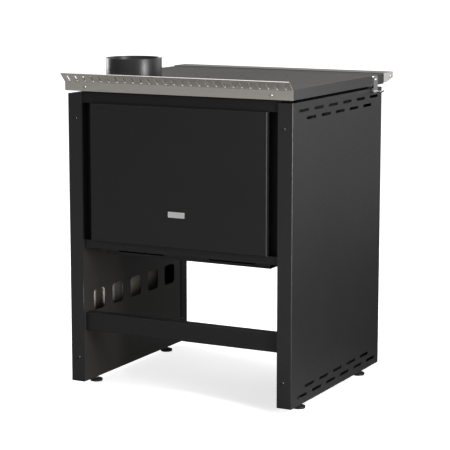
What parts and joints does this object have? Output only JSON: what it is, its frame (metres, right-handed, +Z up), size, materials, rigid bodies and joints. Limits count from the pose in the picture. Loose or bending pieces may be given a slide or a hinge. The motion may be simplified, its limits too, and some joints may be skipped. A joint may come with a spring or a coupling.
{
  "type": "wood cookstove",
  "caption": "Free-standing wood cookstove with hollow side columns, an open log bay, a firebox and oven body, a cooktop with lift-off rings and a rear flue collar.",
  "frame": {"origin": "on the floor, under the middle of the whole stove", "axes": "+Z up, -Y towards the front doors, +X to the right seen from the front"},
  "size_m": [0.745, 0.6962, 0.914],
  "materials": {
    "charcoal_powder": "fine textured charcoal powder coat, satin",
    "black_powder": "fine textured black powder coat, matt",
    "brushed_stainless": "lengthwise brushed stainless steel",
    "cap_grey": "satin cast aluminium",
    "chrome_plate": "polished chrome plate",
    "cooktop_steel": "ground and lightly oiled",
    "stove_black": "sand-cast, heat-proof black",
    "collar_enamel": "gloss black enamel",
    "bare_steel": "plain mill steel",
    "zinc_steel": "zinc plated",
    "firebrick": "dense vermiculite and fireclay",
    "rope_seal": "braided glass-fibre rope",
    "door_glass": "clear ceramic glass",
    "oven_enamel": "dark vitreous enamel",
    "black_screw": "black oxide",
    "foot_black": "moulded black polyamide",
    "grip_black": "ribbed black grip",
    "bare_plate": "satin aluminium plate, left bare"
  },
  "bodies": {
    "stove": {"left_side_panel": "charcoal_powder", "right_side_panel": "charcoal_powder", "left_side_liner": "charcoal_powder", "right_side_liner": "charcoal_powder", "foot_brackets": "zinc_steel", "rear_stretcher": "black_powder", "body_floor": "black_powder", "body_walls": "black_powder", "body_back": "black_powder", "rear_top_rail": "black_powder", "heat_shield": "black_powder", "shield_standoffs": "zinc_steel", "rating_plate": "bare_plate", "air_tray": "black_powder", "front_frame": "black_powder", "firebox_shell": "bare_steel", "firebricks": "firebrick", "fire_grate": "stove_black", "oven_liner": "oven_enamel", "bypass_frame": "bare_steel", "cooktop_frame": "cooktop_steel", "top_seal": "rope_seal", "flue_collar": "collar_enamel", "rear_guard": "brushed_stainless", "front_rail": "brushed_stainless", "rail_end_caps": "cap_grey", "tool_hooks": "chrome_plate", "panel_screws": "black_screw", "trim_screws": "zinc_steel", "firebox_hinge_brackets": "stove_black", "latch_keeper": "zinc_steel", "oven_hinge_brackets": "stove_black"},
    "firebox_door": {"firebox_door_frame": "stove_black", "firebox_door_glass": "door_glass", "glass_clips": "zinc_steel", "firebox_door_seal": "rope_seal"},
    "firebox_latch": {"latch_lever": "brushed_stainless", "latch_grip": "grip_black"},
    "ash_drawer": {"ash_drawer_box": "bare_steel", "ash_drawer_front": "stove_black", "ash_drawer_knob": "brushed_stainless"},
    "air_slider": {"air_slider": "brushed_stainless"},
    "soot_cover": {"soot_cover": "black_powder", "soot_cover_screws": "brushed_stainless"},
    "oven_door": {"oven_door_frame": "stove_black", "oven_door_glass": "door_glass", "oven_handle_bar": "brushed_stainless", "oven_handle_posts": "brushed_stainless", "oven_thermometer": "brushed_stainless"},
    "oven_rack": {"oven_rack": "zinc_steel"},
    "hot_plate": {"hot_plate": "cooktop_steel"},
    "outer_ring": {"outer_ring": "cooktop_steel"},
    "inner_ring": {"inner_ring": "cooktop_steel"},
    "center_lid": {"center_lid": "cooktop_steel"},
    "bypass_rod": {"bypass_rod": "zinc_steel"},
    "bypass_flap": {"bypass_flap": "bare_steel"},
    "foot_rear_left": {"foot_rear_left": "foot_black"},
    "foot_rear_right": {"foot_rear_right": "foot_black"},
    "foot_front_left": {"foot_front_left": "foot_black"},
    "foot_front_right": {"foot_front_right": "foot_black"}
  },
  "joints": [
    {"name": "firebox_door_hinge", "type": "hinge", "parent": "stove", "child": "firebox_door", "pos_m": [-0.292, -0.28708, 0.655], "axis": [0, 0, -1], "range_deg": [0, 110]},
    {"name": "firebox_latch_turn", "type": "hinge", "parent": "firebox_door", "child": "firebox_latch", "pos_m": [-0.027, -0.29508, 0.655], "axis": [0, 1, 0], "range_deg": [0, 60]},
    {"name": "ash_drawer_slide", "type": "slide", "parent": "stove", "child": "ash_drawer", "axis": [0, -1, 0], "range_m": [0, 0.3]},
    {"name": "air_slider_slide", "type": "slide", "parent": "stove", "child": "air_slider", "axis": [1, 0, 0], "range_m": [0, 0.036]},
    {"name": "soot_cover_pull", "type": "slide", "parent": "stove", "child": "soot_cover", "axis": [0, -1, 0], "range_m": [0, 0.06]},
    {"name": "oven_door_hinge", "type": "hinge", "parent": "stove", "child": "oven_door", "pos_m": [0.145, -0.28608, 0.491], "axis": [1, 0, 0], "range_deg": [0, 90], "stiffness_Nm_per_rad": 2, "springref_deg": -20.05},
    {"name": "oven_rack_slide", "type": "slide", "parent": "stove", "child": "oven_rack", "axis": [0, -1, 0], "range_m": [0, 0.03]},
    {"name": "hot_plate_lift", "type": "slide", "parent": "stove", "child": "hot_plate", "axis": [0, 0, 1], "range_m": [0, 0.1]},
    {"name": "outer_ring_lift", "type": "slide", "parent": "hot_plate", "child": "outer_ring", "axis": [0, 0, 1], "range_m": [0, 0.08]},
    {"name": "inner_ring_lift", "type": "slide", "parent": "outer_ring", "child": "inner_ring", "axis": [0, 0, 1], "range_m": [0, 0.06]},
    {"name": "center_lid_lift", "type": "slide", "parent": "inner_ring", "child": "center_lid", "axis": [0, 0, 1], "range_m": [0, 0.06]},
    {"name": "bypass_rod_pull", "type": "slide", "parent": "stove", "child": "bypass_rod", "axis": [0, -1, 0], "range_m": [0, 0.042]},
    {"name": "bypass_flap_turn", "type": "hinge", "parent": "stove", "child": "bypass_flap", "pos_m": [0.14, 0.11792, 0.843], "axis": [-1, 0, 0], "range_deg": [0, 75]},
    {"name": "foot_rear_left_turn", "type": "hinge", "parent": "stove", "child": "foot_rear_left", "pos_m": [-0.316, 0.22192, 0.009], "axis": [0, 0, 1], "continuous": true},
    {"name": "foot_rear_right_turn", "type": "hinge", "parent": "stove", "child": "foot_rear_right", "pos_m": [0.316, 0.22192, 0.009], "axis": [0, 0, 1], "continuous": true},
    {"name": "foot_front_left_turn", "type": "hinge", "parent": "stove", "child": "foot_front_left", "pos_m": [-0.316, -0.18008, 0.009], "axis": [0, 0, 1], "continuous": true},
    {"name": "foot_front_right_turn", "type": "hinge", "parent": "stove", "child": "foot_front_right", "pos_m": [0.316, -0.18008, 0.009], "axis": [0, 0, 1], "continuous": true}
  ],
  "couplings": [
    {"joint": "bypass_flap_turn", "follows": "bypass_rod_pull", "rad_per_m": 31}
  ]
}
